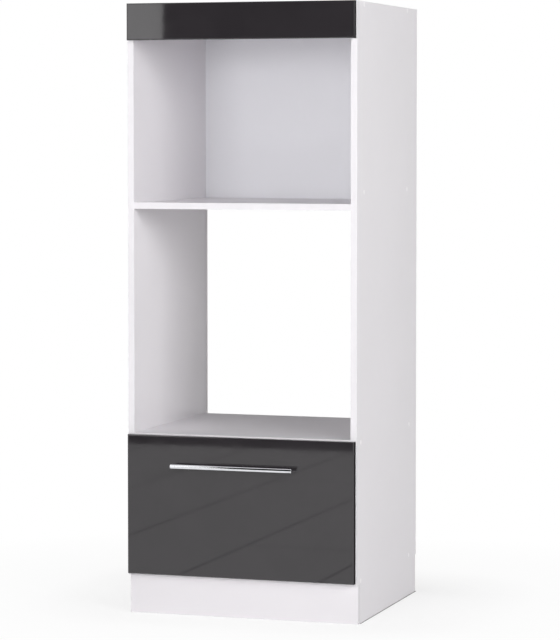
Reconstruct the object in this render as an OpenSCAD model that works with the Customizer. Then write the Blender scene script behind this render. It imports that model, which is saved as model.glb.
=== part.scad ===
// Tall kitchen cabinet for a microwave and a built-in oven, with one deep drawer.
// White laminated boards on a plinth box, gloss fronts, telescopic ball-bearing slides.
// Millimetres. X runs across and Y from front to back, both with 0 in the middle of the
// whole cabinet with its handle. Z runs up from the floor.

/* [Cabinet] */
// Overall width over the side panels
cabinet_w = 600; // [450:5:900]
// Overall height from the floor
cabinet_h = 1535; // [1300:1:2000]
// Depth of the side panels, without the fronts
carcass_d = 550; // [540:5:680]
// Thickness of the white boards
board_t = 16; // [14:0.5:19]
// Thickness of the fibreboard backs and the drawer bottom
back_t = 3; // [2.5:0.5:5]
// Distance from the back panels to the rear edges of the side panels
back_inset = 10; // [6:1:15]
// Depth of the grooves that hold the back panels
groove_depth = 8; // [5:0.5:9]
// Thickness of the banding on the visible board edges
band_t = 1; // [0.4:0.1:2]

/* [Levels] */
// Clear height of the drawer bay
drawer_bay_h = 328; // [322:1:420]
// Clear height of the oven niche
oven_niche_h = 564; // [440:1:610]
// Oven niche height that the upper row of spare holes is drilled for
spare_niche_h = 600; // [600:1:640]
// Depth of the oven shelf, which leaves an air gap behind it
oven_shelf_d = 515; // [420:5:525]

/* [Plinth] */
// Height of the plinth box
plinth_h = 98; // [60:1:150]
// Distance from the front edges of the carcass back to the plinth
plinth_front_inset = 14; // [0:1:80]
// Distance from the rear edges of the carcass forward to the plinth
plinth_back_inset = 6; // [0:1:60]

/* [Fronts] */
// Thickness of the gloss fronts
front_t = 16; // [16:1:19]
// Height of the top fascia
fascia_h = 92; // [60:1:140]
// Gap between a front's end and the outer face of the cabinet
front_side_gap = 3; // [1:0.5:5]
// Distance from the top of the drawer front up to the top of the oven shelf
front_top_gap = 3; // [1:0.5:8]
// Distance from the bottom of the carcass up to the drawer front
front_bottom_gap = 5; // [1:0.5:8]
// Rounding of the face edges of the fronts
front_edge_r = 3; // [1:0.5:5]

/* [Handle] */
// Length of the handle bar
handle_l = 318; // [200:1:400]
// Diameter of the handle bar
handle_d = 12; // [10:0.5:14]
// Rounding of the edges at the bar's ends
handle_edge_r = 1.5; // [0.5:0.1:3]
// Distance between the middles of the two posts
handle_spacing = 256; // [128:32:256]
// Distance from the drawer front to the outer side of the bar
handle_reach = 30; // [28:1:45]
// Distance from the top of the drawer front down to the bar's middle
handle_drop = 74; // [40:1:90]
// Sideways distance of the handle's middle from the middle of the cabinet
handle_shift = -14; // [-40:1:40]

/* [Drawer] */
// Height of the drawer box boards
drawer_side_h = 220; // [140:5:230]
// Gap between the bottom panel and the drawer bottom
drawer_lift = 20; // [12:1:35]
// Height of the slides' middle above the lower edges of the drawer box boards
slide_rise = 72; // [65:1:110]

/* [Slides] */
// Length of the slides, which is also their travel
slide_l = 500; // [400:10:510]
// Distance from the front edges of the carcass back to the slides
slide_setback = 2; // [0:0.5:8]
// Length of the rubber stops at the rear ends of the cabinet rails and the middle rails
stop_l = 7; // [5:0.5:8]
// Height of a cabinet rail
slide_h = 45; // [42:0.5:54]
// Thickness of the rails' sheet
sheet_t = 1.2; // [1:0.1:1.4]
// Outer radius of the rails' corners
rail_bend_r = 2; // [1.6:0.1:2.4]
// Diameter of the balls
ball_d = 4; // [3.5:0.1:4.5]
// Gap between a ball and its races
race_gap = 0.3; // [0.2:0.05:0.4]
// Gap between the webs of the cabinet rail and the middle rail
web_gap = 1.9; // [1.8:0.05:2.6]
// Gap on each side of the strip that holds the inner balls
cage_gap = 0.3; // [0.2:0.05:0.5]
// Thickness of the strips that hold the balls
cage_t = 0.4; // [0.3:0.05:0.5]
// Number of balls in each row
balls_per_row = 7; // [4:1:12]

/* [Joinery] */
// Distance of the front confirmat row in the top panel from the carcass front
upper_screw_front = 60; // [40:1:100]
// Distance of the rear confirmat row in the top panel from the board's back edge
upper_screw_rear = 82; // [40:1:120]
// Distance of the front confirmat row in the lower boards from the carcass front
lower_screw_front = 35; // [25:1:80]
// Distance of the rear confirmat row from the back edge of the oven shelf
lower_screw_rear = 35; // [10:1:60]
// Length of the confirmat screws
confirmat_l = 50; // [40:5:60]
// Diameter of the plastic caps over the confirmat screws
cap_d = 12; // [10:0.5:14]
// How far the caps stand out from the side panels
cap_t = 0.9; // [0.6:0.1:1.2]
// Diameter of the wooden dowels
dowel_d = 8; // [6:1:8]
// Length of the wooden dowels
dowel_l = 30; // [26:1:40]
// Depth of the dowels in the side panels
dowel_in_side = 12; // [8:1:12]
// Diameter of the cams that hold the microwave shelf
cam_d = 15; // [12:0.5:16]
// Depth of the cams in the shelf
cam_depth = 12; // [10:0.5:12.5]
// Distance of the cams' middles from the ends of the shelf
cam_inset = 34; // [24:1:40]
// Distance of the cam fittings from the front and back edges of the shelf
cam_edge = 60; // [40:1:120]
// Length of the legs of the angle brackets
bracket_leg = 25; // [20:1:30]
// Width of the angle brackets
bracket_w = 17; // [14:1:25]
// Thickness of the angle brackets
bracket_t = 1.5; // [1.2:0.1:2]
// Length of the small wood screws
wood_screw_l = 13; // [11:0.5:14]
// Shank diameter of the small wood screws
wood_screw_d = 3.5; // [3:0.1:4]
// Gap around every screw, dowel and pin in its hole
fit_gap = 0.1; // [0.05:0.05:0.2]

/* [Hidden] */

LEFT = -1;
RIGHT = 1;
SIDES = [LEFT, RIGHT];
EPS = 0.01;
$fn = 48;

WHITE = "#ececee";
BANDING = "#f6f6f8";
FIBREBOARD = "#dcdcde";
GLOSS = "#3a383b";
STEEL = "#b4b7bb";
ZINC = "#c9ccd0";
CHROME = "#e4e6e9";
BEECH = "#d9b383";
CAP_WHITE = "#fafafa";
RUBBER = "#2b2b2c";

// Carcass
inner_w = cabinet_w - 2 * board_t;
middle_y = (carcass_d - front_t - handle_reach) / 2;
back_y = carcass_d - back_inset - back_t;
groove_w = back_t + 2 * fit_gap;
bottom_z = plinth_h;
oven_shelf_z = bottom_z + board_t + drawer_bay_h;
oven_floor_z = oven_shelf_z + board_t;
micro_shelf_z = oven_floor_z + oven_niche_h;
top_z = cabinet_h - board_t;
spare_row_z = oven_floor_z + spare_niche_h + board_t / 2;

// Joinery rows: height of the board's middle, then the front and the rear screw
upper_rows = [upper_screw_front, back_y - upper_screw_rear];
lower_rows = [lower_screw_front, oven_shelf_d - lower_screw_rear];
screwed_boards = [[top_z, upper_rows], [oven_shelf_z, lower_rows], [bottom_z, lower_rows]];
cam_rows = [cam_edge, back_y - cam_edge];
dowelled_boards = [top_z, micro_shelf_z, oven_shelf_z, bottom_z];
dowel_y = oven_shelf_d / 2;

// Confirmat screw
confirmat_head_r = 5;
confirmat_head_h = 2.5;
confirmat_shank_r = 3.4;
confirmat_shank_l = board_t - 2;
confirmat_core_r = 2.5;
confirmat_socket_r = 2.3;
confirmat_socket_l = 3;
confirmat_tip_l = 3;
cap_steps = 4;
cap_stem_r = 1.8;
cap_stem_l = 2.5;
spare_hole_l = 8;

// Cam fitting
cam_z = board_t / 2;
cam_bolt_r = 3;
cam_bolt_head_r = 3.4;
cam_bolt_head_l = 3;
cam_bolt_neck_r = 2;
cam_bolt_neck_l = 4;
cam_bolt_thread_l = 11;
cam_hook_t = 3.8;
cam_slot_l = 10;
cam_slot_w = 1.4;
cam_slot_h = 2;

// Small fasteners
screw_head_r = 3.5;
screw_head_h = 1.6;
cross_l = 3.8;
cross_w = 0.9;
cross_h = 1.1;
pin_r = 0.8;
pin_l = 20;
pin_head_r = 1.8;
pin_head_h = 0.6;
pins_per_row = 5;
pins_per_cross_board = 3;
pin_end = 30;

// Brackets
bracket_hole_at = 15;
bracket_corner_r = 2.5;
fascia_bracket_x = [-cabinet_w / 3, 0, cabinet_w / 3];
plinth_bracket_x = [-cabinet_w / 4, cabinet_w / 4];

// Fronts and handle
front_w = cabinet_w - 2 * front_side_gap;
fascia_z = cabinet_h - fascia_h;
drawer_front_z = bottom_z + front_bottom_gap;
drawer_front_top = oven_floor_z - front_top_gap;
drawer_front_h = drawer_front_top - drawer_front_z;
handle_z = drawer_front_top - handle_drop;
handle_axis_y = -front_t - handle_reach + handle_d / 2;
post_l = handle_reach - handle_d;
post_r = handle_d / 2 - 1;
post_stub_l = 4;
post_root = 1;
post_stub_r = post_r - 2;
post_saddle_gap = 0.05;
handle_bore_l = 12;
handle_screw_r = 2;
handle_screw_end = 2;
handle_screw_head_r = 4;
handle_screw_head_h = 2;

// Plinth
plinth_y0 = plinth_front_inset;
plinth_y1 = carcass_d - plinth_back_inset;

// Slide section: u runs from the side panel inwards, v up from the slide's middle
ball_r = ball_d / 2;
race_r = ball_r + race_gap;
lip_angle = -20;
outer_u = 2 * sheet_t + web_gap + race_r;
outer_v = slide_h / 2 - sheet_t - race_r;
middle_web_u = sheet_t + web_gap;
inner_u = middle_web_u + sheet_t + 2 * cage_gap + cage_t + sheet_t + race_r;
inner_v = outer_v - 2 * race_r - sheet_t;
lip_clearance = 0.4;
slide_t = inner_u + race_r + sheet_t + lip_clearance;
drawer_rail_v = inner_v - race_r;
cage_tab_t = 0.55;
cage_tab_rise = 0.25;
cage_tab_reach = 1.6;
cage_hole_r = ball_r + 0.15;
cage_leg = 7;
cage_end_gap = 10;
cage_l = slide_l / 2 - 2 * cage_end_gap;
run_gap = 0.2;
middle_rail_l = slide_l - stop_l - run_gap;
drawer_rail_l = middle_rail_l - stop_l - run_gap;
outer_cage_y = slide_setback + middle_rail_l / 2 - cage_l / 2;
inner_cage_y = slide_setback + drawer_rail_l / 2 - cage_l / 2;
stop_recess_v = 8;
stop_recess_u = 2.4;
stop_chamfer = rail_bend_r - sheet_t;
outer_strip_u = sheet_t + (web_gap - cage_t) / 2;
inner_strip_u = middle_web_u + sheet_t + cage_gap;
ball_end = 12;
ball_pitch = (cage_l - 2 * ball_end) / (balls_per_row - 1);
rail_screw_end = 37;
rail_screw_middle = 229;
rail_screw_shift = 32;
cabinet_rail_holes = [rail_screw_end, rail_screw_middle, slide_l - rail_screw_end];
drawer_rail_holes = [for (y = cabinet_rail_holes) y + rail_screw_shift * (y < slide_l / 2 ? 1 : -1)];
access_hole_r = 4.5;

// Drawer box
drawer_w = inner_w - 2 * slide_t;
drawer_d = slide_setback + slide_l;
drawer_bottom_z = bottom_z + board_t + drawer_lift;
drawer_box_z = drawer_bottom_z + back_t;
slide_z = drawer_box_z + slide_rise;
drawer_board_h = drawer_side_h - band_t;
box_screw_inset = 28;
box_screw_z = [drawer_box_z + box_screw_inset, drawer_box_z + drawer_side_h - box_screw_inset];
front_screw_inset = 90;
front_screw_x = [-drawer_w / 2 + front_screw_inset, drawer_w / 2 - front_screw_inset];
front_screw_l = 28;

// ---- helpers ----

// Moves what is measured from the carcass front so that 0 is the middle of the whole depth
module from_front() {
  translate([0, -middle_y, 0]) children();
}

// Turns local +Z into the direction from a side panel's outer face inwards
module inwards(side) {
  rotate([0, side == RIGHT ? -90 : 90, 0]) children();
}

// Turns local +Z into +Y
module backwards() {
  rotate([-90, 0, 0]) children();
}

// Turns local +Z into -Y
module forwards() {
  rotate([90, 0, 0]) children();
}

// Extrudes an outline drawn in X and Z along Y
module along_y(y, l) {
  translate([0, y + l, 0]) rotate([90, 0, 0]) linear_extrude(l) children();
}

// Places children at one side, drawn as u, Y, v from the side panel's inner face
module at_slide(side) {
  translate([side * inner_w / 2, 0, slide_z]) {
    if (side == RIGHT) mirror([1, 0, 0]) children();
    else children();
  }
}

// Part of a ring between two angles that are at most 120 degrees apart
module ring_sector(r0, r1, a0, a1) {
  reach = 2 * r1;
  middle = (a0 + a1) / 2;
  intersection() {
    difference() {
      circle(r1);
      circle(r0);
    }
    polygon([
      [0, 0], reach * [cos(a0), sin(a0)], reach * [cos(middle), sin(middle)], reach * [cos(a1), sin(a1)]
    ]);
  }
}

// Draws an outline and its mirror image below the slide's middle
module both_halves() {
  for (m = [0, 1]) mirror([0, m]) children();
}

// Confirmat screw with its head at 0 and its point along +Z, or its hole when gap is set
module confirmat(gap = 0) {
  cylinder(h = confirmat_head_h, r1 = confirmat_head_r + gap, r2 = confirmat_shank_r + gap);
  cylinder(h = confirmat_shank_l + gap, r = confirmat_shank_r + gap);
  cylinder(h = confirmat_l - confirmat_tip_l, r = confirmat_core_r + gap);
  translate([0, 0, confirmat_l - confirmat_tip_l - EPS])
    cylinder(h = confirmat_tip_l + gap, r1 = confirmat_core_r + gap, r2 = confirmat_core_r / 3 + gap);
}

// Confirmat screw with its hexagon socket
module confirmat_screw() {
  difference() {
    confirmat();
    translate([0, 0, -EPS]) cylinder(h = confirmat_socket_l, r = confirmat_socket_r, $fn = 6);
  }
}

// Cross slot of a screw or a cam, cut from 0 along +Z
module cross_slot(l, w, h) {
  for (turn = [0, 90]) rotate([0, 0, turn]) translate([-l / 2, -w / 2, -EPS]) cube([l, w, h + EPS]);
}

// Small wood screw: the underside of its head is at 0 and its point lies along +Z
module wood_screw(l = wood_screw_l, d = wood_screw_d) {
  dome_r = (screw_head_r * screw_head_r + screw_head_h * screw_head_h) / (2 * screw_head_h);
  tip_l = d;
  translate([0, 0, -EPS]) cylinder(h = l - tip_l + EPS, r = d / 2);
  translate([0, 0, l - tip_l - EPS]) cylinder(h = tip_l, r1 = d / 2, r2 = d / 8);
  difference() {
    intersection() {
      translate([0, 0, dome_r - screw_head_h]) sphere(dome_r);
      translate([0, 0, -screw_head_h]) cylinder(h = screw_head_h, r = screw_head_r);
    }
    translate([0, 0, -screw_head_h]) cross_slot(cross_l, cross_w, cross_h);
  }
}

// Pilot hole of a small wood screw
module wood_screw_hole(l = wood_screw_l, d = wood_screw_d) {
  translate([0, 0, -EPS]) cylinder(h = l + 2 * fit_gap, r = d / 2 + fit_gap);
}

// Pin with the underside of its flat head at 0 and its point along +Z
module pin() {
  translate([0, 0, -pin_head_h]) cylinder(h = pin_head_h, r = pin_head_r);
  translate([0, 0, -EPS]) cylinder(h = pin_l - 2 * pin_r, r = pin_r);
  translate([0, 0, pin_l - 2 * pin_r - 2 * EPS]) cylinder(h = 2 * pin_r, r1 = pin_r, r2 = pin_r / 4);
}

module pin_hole() {
  translate([0, 0, -EPS]) cylinder(h = pin_l + fit_gap, r = pin_r + fit_gap);
}

// Evenly spaced places between two ends
function spread(from, to, count) = [for (i = [0:count - 1]) from + (to - from) * i / (count - 1)];

// ---- places of the fasteners ----

module at_confirmats(sides = SIDES) {
  for (side = sides, board = screwed_boards, y = board[1])
    translate([side * cabinet_w / 2, y, board[0] + board_t / 2]) inwards(side) children();
}

module at_spare_holes(sides = SIDES) {
  for (side = sides, y = upper_rows)
    translate([side * cabinet_w / 2, y, spare_row_z]) inwards(side) children();
}

module at_dowels(sides = SIDES) {
  for (side = sides, z = dowelled_boards)
    translate([side * (inner_w / 2 + dowel_in_side), dowel_y, z + board_t / 2]) inwards(side) children();
}

// Inner face of the side panel, at the height of the cam bolts
module at_cam_bolts(sides = SIDES) {
  for (side = sides, y = cam_rows)
    translate([side * inner_w / 2, y, micro_shelf_z + cam_z]) inwards(side) children();
}

module at_back_pins() {
  rows = [[top_z, pins_per_row], [micro_shelf_z, pins_per_row], [bottom_z, pins_per_row]];
  for (row = rows, x = spread(-inner_w / 2 + pin_end, inner_w / 2 - pin_end, row[1]))
    translate([x, back_y + back_t, row[0] + board_t / 2]) forwards() children();
}

module at_cabinet_rail_screws(sides = SIDES) {
  for (side = sides, y = cabinet_rail_holes)
    translate([side * (inner_w / 2 - sheet_t), slide_setback + y, slide_z])
      inwards(-side) children();
}

module at_drawer_rail_screws(sides = SIDES) {
  for (side = sides, y = drawer_rail_holes)
    translate([side * (drawer_w / 2 + sheet_t), slide_setback + y, slide_z])
      inwards(side) children();
}

// Outer faces of the drawer sides, at the ends of the inner front and the back
module at_box_screws(sides = SIDES) {
  for (side = sides, y = [board_t / 2, drawer_d - board_t / 2], z = box_screw_z)
    translate([side * drawer_w / 2, y, z]) inwards(side) children();
}

module at_front_screws() {
  for (x = front_screw_x, z = box_screw_z)
    translate([x, board_t, z]) forwards() children();
}

// Face of the drawer front, at the middles of the handle posts
module at_handle_posts() {
  for (side = SIDES)
    translate([handle_shift + side * handle_spacing / 2, -front_t, handle_z]) children();
}

// Room in the drawer box for the heads of the handle screws, if they sit lower than its edge
module handle_screw_recess() {
  translate([0, front_t, 0]) at_handle_posts() backwards() translate([0, 0, -EPS])
    cylinder(h = handle_screw_head_h + 2 * fit_gap, r = handle_screw_head_r + 2 * fit_gap);
}

// Underside of the drawer box, along the middles of its four boards
module at_bottom_pins() {
  side_x = drawer_w / 2 - board_t / 2;
  for (side = SIDES, y = spread(pin_end, drawer_d - pin_end, pins_per_row))
    translate([side * side_x, y, drawer_bottom_z]) children();
  for (y = [board_t / 2, drawer_d - board_t / 2])
    for (x = spread(-drawer_w / 4, drawer_w / 4, pins_per_cross_board))
      translate([x, y, drawer_bottom_z]) children();
}

// Corner of a bracket: legs run along local +X and +Z, the width along Y
module at_fascia_brackets() {
  for (x = fascia_bracket_x) translate([x, 0, top_z]) rotate([0, 0, 90]) mirror([0, 0, 1]) children();
}

module at_plinth_brackets() {
  front_y = plinth_y0 + board_t;
  rear_y = plinth_y1 - board_t;
  // under the bottom panel, against the front and the back board
  for (x = plinth_bracket_x) {
    translate([x, front_y, plinth_h]) rotate([0, 0, 90]) mirror([0, 0, 1]) children();
    translate([x, rear_y, plinth_h]) rotate([0, 0, -90]) mirror([0, 0, 1]) children();
  }
  // in the four corners of the box
  for (side = SIDES) {
    translate([side * inner_w / 2, front_y, plinth_h / 2]) rotate([-90, 0, 0])
      rotate([0, 0, side == RIGHT ? 180 : 0]) children();
    translate([side * inner_w / 2, rear_y, plinth_h / 2]) rotate([90, 0, 0])
      rotate([0, 0, side == RIGHT ? 180 : 0]) children();
  }
}

// The two screws of one bracket, in the bracket's own directions
module at_bracket_holes() {
  translate([bracket_hole_at, 0, bracket_t]) rotate([180, 0, 0]) children();
  translate([bracket_t, 0, bracket_hole_at]) rotate([0, -90, 0]) children();
}

module bracket() {
  difference() {
    translate([0, bracket_w / 2, 0]) rotate([90, 0, 0]) linear_extrude(bracket_w) {
      translate([bracket_corner_r, 0]) square([bracket_leg - bracket_corner_r, bracket_t]);
      translate([0, bracket_corner_r]) square([bracket_t, bracket_leg - bracket_corner_r]);
      translate([bracket_corner_r, bracket_corner_r])
        ring_sector(bracket_corner_r - bracket_t, bracket_corner_r, 180, 270);
    }
    at_bracket_holes() translate([0, 0, -EPS])
      cylinder(h = bracket_t + 2 * EPS, r = wood_screw_d / 2 + 2 * fit_gap);
  }
}

// ---- carcass ----

module side_panel(side) {
  x0 = side == RIGHT ? inner_w / 2 : -cabinet_w / 2;
  groove_x = side == RIGHT ? inner_w / 2 - EPS : -inner_w / 2 - groove_depth;
  difference() {
    translate([x0, band_t, bottom_z]) cube([board_t, carcass_d - band_t, cabinet_h - bottom_z]);
    translate([groove_x, back_y - fit_gap, bottom_z - EPS])
      cube([groove_depth + EPS, groove_w, cabinet_h - bottom_z + 2 * EPS]);
    at_confirmats([side]) translate([0, 0, -EPS]) confirmat(fit_gap);
    at_spare_holes([side]) translate([0, 0, -EPS]) cylinder(h = spare_hole_l, r = confirmat_shank_r);
    at_dowels([side]) translate([0, 0, -fit_gap]) cylinder(h = dowel_l, r = dowel_d / 2 + fit_gap);
    at_cam_bolts([side]) translate([0, 0, -cam_bolt_thread_l - fit_gap])
      cylinder(h = cam_bolt_thread_l + 1, r = cam_bolt_r + fit_gap);
    at_cabinet_rail_screws([side]) wood_screw_hole();
  }
}

module side_panel_left() {
  color(WHITE) from_front() side_panel(LEFT);
}

module side_panel_right() {
  color(WHITE) from_front() side_panel(RIGHT);
}

// Board between the side panels, from behind its banding to depth d
module shelf_board(z, d) {
  difference() {
    translate([-inner_w / 2, band_t, z]) cube([inner_w, d - band_t, board_t]);
    at_confirmats() translate([0, 0, -EPS]) confirmat(fit_gap);
    at_dowels() translate([0, 0, -fit_gap]) cylinder(h = dowel_l + 2 * fit_gap, r = dowel_d / 2 + fit_gap);
    at_back_pins() pin_hole();
  }
}

module top_panel() {
  color(WHITE) from_front() difference() {
    shelf_board(top_z, back_y);
    at_fascia_brackets() at_bracket_holes() wood_screw_hole();
  }
}

module microwave_shelf() {
  bolt_bore_r = cam_bolt_head_r + 2 * fit_gap;
  color(WHITE) from_front() difference() {
    shelf_board(micro_shelf_z, back_y);
    at_cam_bolts() translate([0, 0, -EPS]) cylinder(h = cam_inset, r = bolt_bore_r);
    for (side = SIDES, y = cam_rows)
      translate([side * (inner_w / 2 - cam_inset), y, micro_shelf_z - EPS])
        cylinder(h = cam_depth + fit_gap, r = cam_d / 2 + fit_gap);
  }
}

module oven_shelf() {
  color(WHITE) from_front() shelf_board(oven_shelf_z, oven_shelf_d);
}

module bottom_panel() {
  color(WHITE) from_front() difference() {
    shelf_board(bottom_z, back_y);
    at_plinth_brackets() at_bracket_holes() wood_screw_hole();
  }
}

// Fibreboard that stands in the grooves of both side panels
module back_panel(z0, z1) {
  w = inner_w + 2 * (groove_depth - 1);
  difference() {
    translate([-w / 2, back_y, z0]) cube([w, back_t, z1 - z0]);
    at_back_pins() pin_hole();
  }
}

module niche_back_panel() {
  color(FIBREBOARD) from_front() back_panel(micro_shelf_z, cabinet_h);
}

module drawer_bay_back_panel() {
  color(FIBREBOARD) from_front() back_panel(bottom_z, oven_shelf_z);
}

module side_edge_bands() {
  color(BANDING) from_front() for (x = [-cabinet_w / 2, inner_w / 2])
    translate([x, 0, bottom_z]) cube([board_t, band_t, cabinet_h - bottom_z]);
}

module shelf_edge_bands() {
  color(BANDING) from_front() for (z = dowelled_boards)
    translate([-inner_w / 2, 0, z]) cube([inner_w, band_t, board_t]);
}

module confirmat_screws() {
  color(STEEL) from_front() at_confirmats() confirmat_screw();
}

// Domed cap with a stem that sits in the screw's socket or in a spare hole
module screw_cap() {
  dome = [for (a = [0:90 / cap_steps:90]) [cap_d / 2 * cos(a), -cap_t * sin(a)]];
  rotate_extrude() polygon(concat([[0, 0]], dome));
  translate([0, 0, -EPS]) cylinder(h = cap_stem_l, r = cap_stem_r);
}

module screw_caps() {
  color(CAP_WHITE) from_front() {
    at_confirmats() screw_cap();
    at_spare_holes() screw_cap();
  }
}

module wood_dowels() {
  color(BEECH) from_front() at_dowels() cylinder(h = dowel_l, r = dowel_d / 2);
}

// Cam whose wall hooks behind the head of its bolt, with a cross slot for the driver.
// Its driver face is at 0 and the bolt comes in along local +X.
module shelf_cam() {
  pocket_w = 2 * cam_bolt_head_r + 2 * cage_gap;
  pocket_l = cam_d / 2 + cam_bolt_head_r - cam_hook_t;
  pocket_z = cam_z - pocket_w / 2;
  neck_w = 2 * cam_bolt_neck_r + 2 * cage_gap;
  difference() {
    cylinder(h = cam_depth, r = cam_d / 2);
    translate([cam_d / 2 - cam_hook_t - pocket_l, -pocket_w / 2, pocket_z])
      cube([pocket_l, pocket_w, cam_depth]);
    translate([0, -neck_w / 2, cam_z - neck_w / 2]) cube([cam_d, neck_w, cam_depth]);
    cross_slot(cam_slot_l, cam_slot_w, cam_slot_h);
  }
}

module shelf_cams() {
  color(ZINC) from_front() for (side = SIDES, y = cam_rows)
    translate([side * (inner_w / 2 - cam_inset), y, micro_shelf_z])
      rotate([0, 0, side == RIGHT ? 0 : 180]) shelf_cam();
}

module shelf_cam_bolts() {
  neck_z = cam_inset - cam_d / 2;
  head_z = neck_z + cam_bolt_neck_l;
  color(STEEL) from_front() at_cam_bolts() {
    translate([0, 0, -cam_bolt_thread_l]) cylinder(h = cam_bolt_thread_l + neck_z, r = cam_bolt_r);
    translate([0, 0, neck_z - EPS]) cylinder(h = cam_bolt_neck_l + 2 * EPS, r = cam_bolt_neck_r);
    translate([0, 0, head_z]) cylinder(h = cam_bolt_head_l, r = cam_bolt_head_r);
  }
}

module back_panel_pins() {
  color(STEEL) from_front() at_back_pins() pin();
}

// ---- plinth ----

module plinth_front() {
  color(WHITE) from_front() difference() {
    translate([-cabinet_w / 2, plinth_y0, 0]) cube([cabinet_w, board_t, plinth_h]);
    at_plinth_brackets() at_bracket_holes() wood_screw_hole();
  }
}

module plinth_back() {
  color(WHITE) from_front() difference() {
    translate([-inner_w / 2, plinth_y1 - board_t, 0]) cube([inner_w, board_t, plinth_h]);
    at_plinth_brackets() at_bracket_holes() wood_screw_hole();
  }
}

module plinth_side(side) {
  x0 = side == RIGHT ? inner_w / 2 : -cabinet_w / 2;
  y0 = plinth_y0 + board_t;
  difference() {
    translate([x0, y0, 0]) cube([board_t, plinth_y1 - y0, plinth_h]);
    at_plinth_brackets() at_bracket_holes() wood_screw_hole();
  }
}

module plinth_side_left() {
  color(WHITE) from_front() plinth_side(LEFT);
}

module plinth_side_right() {
  color(WHITE) from_front() plinth_side(RIGHT);
}

module plinth_brackets() {
  color(ZINC) from_front() at_plinth_brackets() bracket();
}

module plinth_bracket_screws() {
  color(ZINC) from_front() at_plinth_brackets() at_bracket_holes() wood_screw();
}

// ---- gloss fronts ----

// Section of a front: square at the back (y = 0), rounded at both edges of the face
module front_section(l) {
  r = front_edge_r;
  translate([0, -front_t + r]) square([l, front_t - r]);
  translate([r, -front_t]) square([l - 2 * r, r + EPS]);
  for (x = [r, l - r]) translate([x, -front_t + r]) circle(r);
}

module gloss_board(h) {
  intersection() {
    translate([-front_w / 2, 0, 0]) linear_extrude(h) front_section(front_w);
    translate([-front_w / 2, 0, 0]) rotate([90, 0, 90]) linear_extrude(front_w)
      mirror([1, -1]) front_section(h);
  }
}

module top_fascia() {
  color(GLOSS) from_front() difference() {
    translate([0, 0, fascia_z]) gloss_board(fascia_h);
    at_fascia_brackets() at_bracket_holes() wood_screw_hole();
  }
}

module fascia_brackets() {
  color(ZINC) from_front() at_fascia_brackets() bracket();
}

module fascia_bracket_screws() {
  color(ZINC) from_front() at_fascia_brackets() at_bracket_holes() wood_screw();
}

module drawer_front() {
  color(GLOSS) from_front() difference() {
    translate([0, 0, drawer_front_z]) gloss_board(drawer_front_h);
    at_handle_posts() backwards() translate([0, 0, -EPS])
      cylinder(h = front_t + 2 * EPS, r = handle_screw_r + 2 * fit_gap);
    at_front_screws() wood_screw_hole(front_screw_l);
  }
}

// Half section of the round bar, from its middle line out to its surface
module bar_section() {
  r = handle_d / 2;
  square([r - handle_edge_r, handle_l]);
  translate([0, handle_edge_r]) square([r, handle_l - 2 * handle_edge_r]);
  for (y = [handle_edge_r, handle_l - handle_edge_r]) translate([r - handle_edge_r, y])
    circle(handle_edge_r);
}

module handle() {
  color(CHROME) from_front() difference() {
    translate([handle_shift - handle_l / 2, handle_axis_y, handle_z]) rotate([0, 90, 0])
      rotate_extrude() bar_section();
    at_handle_posts() forwards() translate([0, 0, post_l - post_root])
      cylinder(h = post_stub_l + post_root, r = post_stub_r + fit_gap);
  }
}

// Post with a saddle that follows the bar and a stub that sits in the bar's hole
module handle_post() {
  difference() {
    cylinder(h = post_l + handle_d / 2, r = post_r);
    translate([-handle_d, 0, post_l + handle_d / 2]) rotate([0, 90, 0])
      cylinder(h = 2 * handle_d, r = handle_d / 2 + post_saddle_gap);
    translate([0, 0, -EPS]) cylinder(h = handle_bore_l, r = handle_screw_r + fit_gap);
  }
  translate([0, 0, post_l - post_root]) cylinder(h = post_stub_l + post_root, r = post_stub_r);
}

module handle_posts() {
  color(CHROME) from_front() at_handle_posts() forwards() handle_post();
}

module handle_screws() {
  in_post = handle_bore_l - handle_screw_end;
  color(STEEL) from_front() at_handle_posts() backwards() {
    translate([0, 0, -in_post]) cylinder(h = front_t + in_post, r = handle_screw_r);
    difference() {
      translate([0, 0, front_t]) cylinder(h = handle_screw_head_h, r = handle_screw_head_r);
      translate([0, 0, front_t + handle_screw_head_h]) mirror([0, 0, 1])
        cross_slot(cross_l, cross_w, cross_h);
    }
  }
}

// ---- slides ----

// Outline of the cabinet rail: a channel whose lips hook round the outer balls
module cabinet_rail_outline() {
  both_halves() {
    square([sheet_t, slide_h / 2 - rail_bend_r]);
    translate([rail_bend_r, slide_h / 2 - rail_bend_r])
      ring_sector(rail_bend_r - sheet_t, rail_bend_r, 90, 180);
    translate([rail_bend_r, slide_h / 2 - sheet_t]) square([outer_u - rail_bend_r, sheet_t]);
    translate([outer_u, outer_v]) ring_sector(race_r, race_r + sheet_t, lip_angle, 90);
  }
}

// Outline of the middle rail: races outside for the outer balls, hooked lips for the inner balls
module middle_rail_outline() {
  both_halves() {
    translate([middle_web_u, 0]) square([sheet_t, outer_v]);
    translate([outer_u, outer_v]) ring_sector(race_r, race_r + sheet_t, 180, 270);
    translate([outer_u, outer_v - race_r - sheet_t]) square([inner_u - outer_u, sheet_t]);
    translate([inner_u, inner_v]) ring_sector(race_r, race_r + sheet_t, lip_angle, 90);
  }
}

// Outline of the drawer rail: a narrow channel with races outside for the inner balls
module drawer_rail_outline() {
  both_halves() {
    translate([slide_t - sheet_t, 0]) square([sheet_t, drawer_rail_v - rail_bend_r]);
    translate([slide_t - rail_bend_r, drawer_rail_v - rail_bend_r])
      ring_sector(rail_bend_r - sheet_t, rail_bend_r, 0, 90);
    translate([inner_u, drawer_rail_v - sheet_t]) square([slide_t - rail_bend_r - inner_u, sheet_t]);
    translate([inner_u, inner_v]) ring_sector(race_r, race_r + sheet_t, 180, 270);
  }
}

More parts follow.
